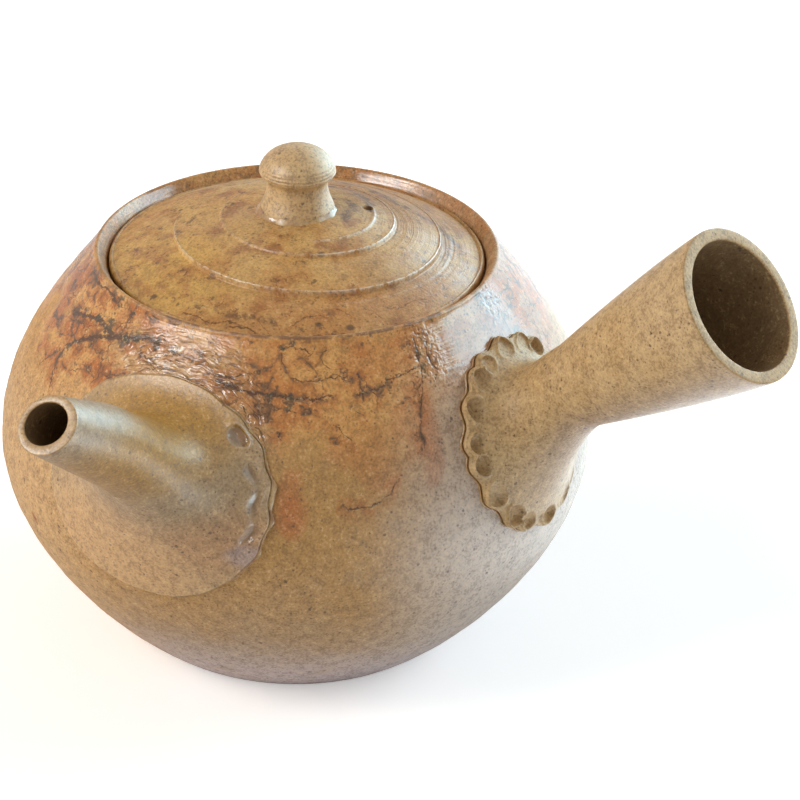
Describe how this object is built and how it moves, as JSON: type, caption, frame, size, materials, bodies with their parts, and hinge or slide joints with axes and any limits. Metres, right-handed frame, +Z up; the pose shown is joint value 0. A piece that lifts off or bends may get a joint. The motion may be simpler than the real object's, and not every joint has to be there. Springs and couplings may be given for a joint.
{
  "type": "side-handled teapot",
  "caption": "Round stoneware teapot with a hollow side handle set square to a short spout, a domed lift-off lid with a turned knob, and a pierced strainer dome behind the spout.",
  "frame": {"origin": "centre of the flat foot, at table level", "axes": "+Z up through the knob, +X out along the handle, the spout near -Y"},
  "size_m": [0.1602, 0.1466, 0.1044],
  "materials": {
    "fired_clay": "unglazed stoneware with a thin fired sheen",
    "matte_clay": "matte unglazed stoneware",
    "slip": "matte slip"
  },
  "bodies": {
    "pot": {"pot_body": "fired_clay", "spout": "matte_clay", "spout_slip": "slip", "strainer": "matte_clay", "strainer_slip": "slip", "handle": "matte_clay", "handle_slip": "slip"},
    "lid": {"lid": "fired_clay", "knob": "matte_clay", "knob_slip": "slip"}
  },
  "joints": [
    {"name": "lid_lift", "type": "slide", "parent": "pot", "child": "lid", "axis": [0, 0, 1], "range_m": [0, 0.06]}
  ]
}
